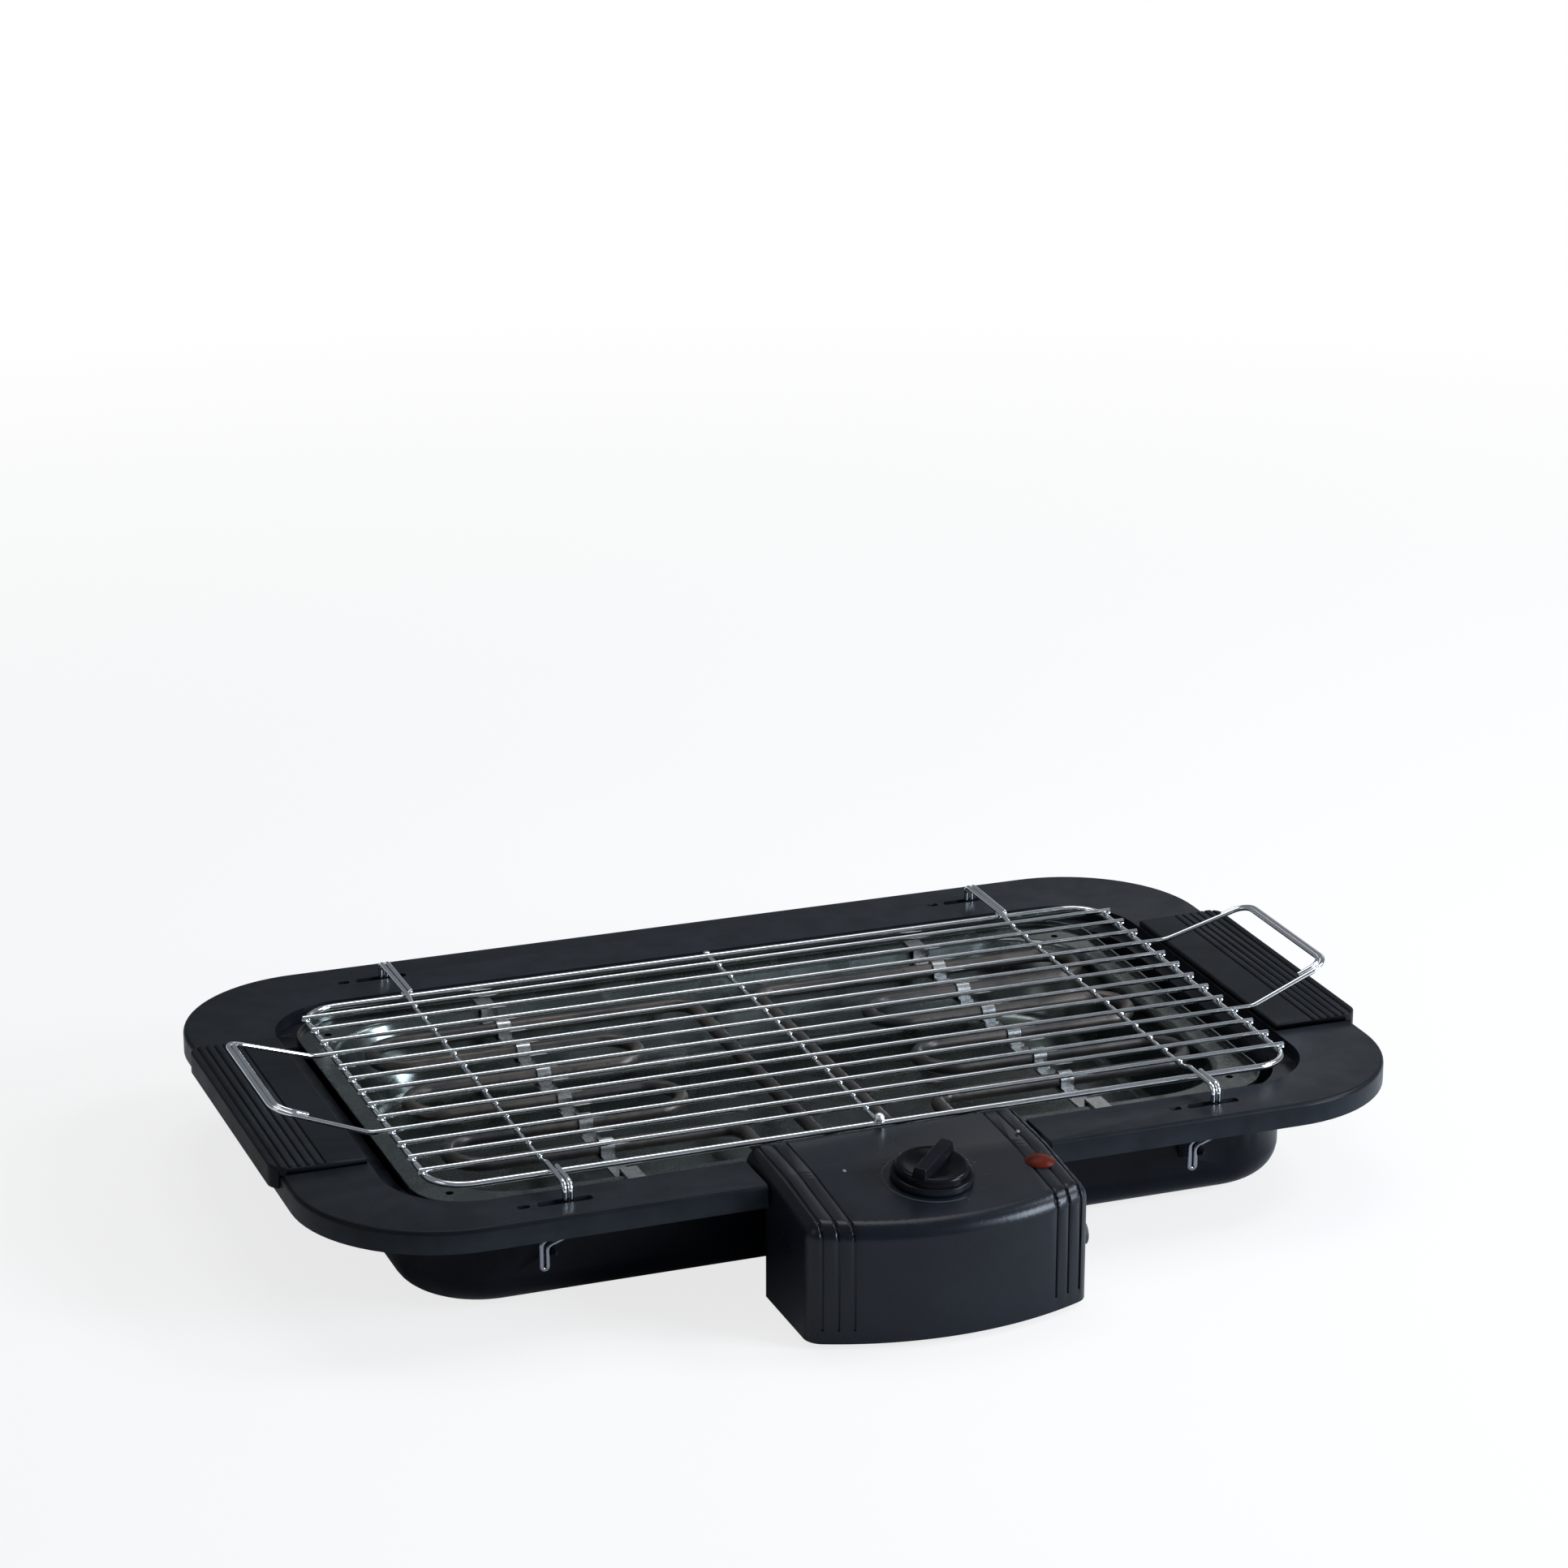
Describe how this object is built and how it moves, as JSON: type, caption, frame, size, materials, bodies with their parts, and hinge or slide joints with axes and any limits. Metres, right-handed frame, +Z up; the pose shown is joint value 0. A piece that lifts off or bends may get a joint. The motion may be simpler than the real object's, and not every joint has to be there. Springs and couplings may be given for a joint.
{
  "type": "electric table grill",
  "caption": "Table-top electric barbecue: wire cooking grid with raised handles over a heating element and drip tray, in a shallow body with a front control unit.",
  "frame": {"origin": "middle of the bottom of the bounding box, on the table surface that the feet rest on", "axes": "+X along the long side, to the right as seen from the control unit; -Y towards the control unit; +Z up"},
  "size_m": [0.52, 0.3745, 0.0818],
  "materials": {
    "black_shell": "satin black moulding",
    "black_rim": "satin black moulding with a fine grain",
    "black_knob": "glossy black",
    "amber_lens": "clear amber, unlit",
    "lamp_glass": "clear",
    "rubber_foot": "matt",
    "chrome_wire": "bright plated wire",
    "tray_sheet": "bright galvanised sheet",
    "element_sheath": "oxidised steel sheath",
    "zinc_sheet": "zinc-plated strip",
    "screw_steel": "zinc-plated",
    "terminal_brass": "plain",
    "brown_resin": "moulded resin",
    "pale_resin": "moulded resin",
    "gland_black": "soft matt"
  },
  "bodies": {
    "base": {"lower_body": "black_shell", "rim_frame": "black_rim", "left_grip": "black_rim", "right_grip": "black_rim", "grip_screws": "screw_steel", "rim_screws": "screw_steel", "rubber_feet": "rubber_foot"},
    "tray": {"drip_tray": "tray_sheet"},
    "control_unit": {"unit_housing": "black_shell", "unit_cover": "black_shell", "cover_screws": "screw_steel", "mount_plate": "zinc_sheet", "element_saddles": "zinc_sheet", "element_tube_left": "element_sheath", "element_tube_right": "element_sheath", "element_pins": "terminal_brass", "element_bracket_left": "zinc_sheet", "element_bracket_right": "zinc_sheet", "element_straps": "zinc_sheet", "cord_gland": "gland_black", "terminal_block": "pale_resin", "thermostat": "brown_resin", "pilot_lens": "amber_lens", "pilot_lamp": "lamp_glass", "safety_switch": "brown_resin"},
    "knob": {"control_knob": "black_knob", "thermostat_shaft": "screw_steel"},
    "plunger": {"switch_plunger": "pale_resin"},
    "grid": {"grid_frame": "chrome_wire", "grid_long_wires": "chrome_wire", "grid_handle_wire_front": "chrome_wire", "grid_handle_wire_back": "chrome_wire", "grid_centre_wire": "chrome_wire", "grid_foot_wire_left": "chrome_wire", "grid_foot_wire_right": "chrome_wire"}
  },
  "joints": [
    {"name": "tray_lift", "type": "slide", "parent": "base", "child": "tray", "axis": [0, 0, 1], "range_m": [0, 0.05]},
    {"name": "unit_lift", "type": "slide", "parent": "tray", "child": "control_unit", "axis": [0, 0, 1], "range_m": [0, 0.065]},
    {"name": "grid_lift", "type": "slide", "parent": "control_unit", "child": "grid", "axis": [0, 0, 1], "range_m": [0, 0.045]},
    {"name": "knob_turn", "type": "hinge", "parent": "control_unit", "child": "knob", "pos_m": [0.0025, -0.14925, 0.05967], "axis": [0, -0.1132, 0.9936], "range_deg": [-270, 0]},
    {"name": "plunger_press", "type": "slide", "parent": "control_unit", "child": "plunger", "axis": [0, 0, 1], "range_m": [0, 0.001], "stiffness_N_per_m": 150, "springref_m": -0.002}
  ]
}
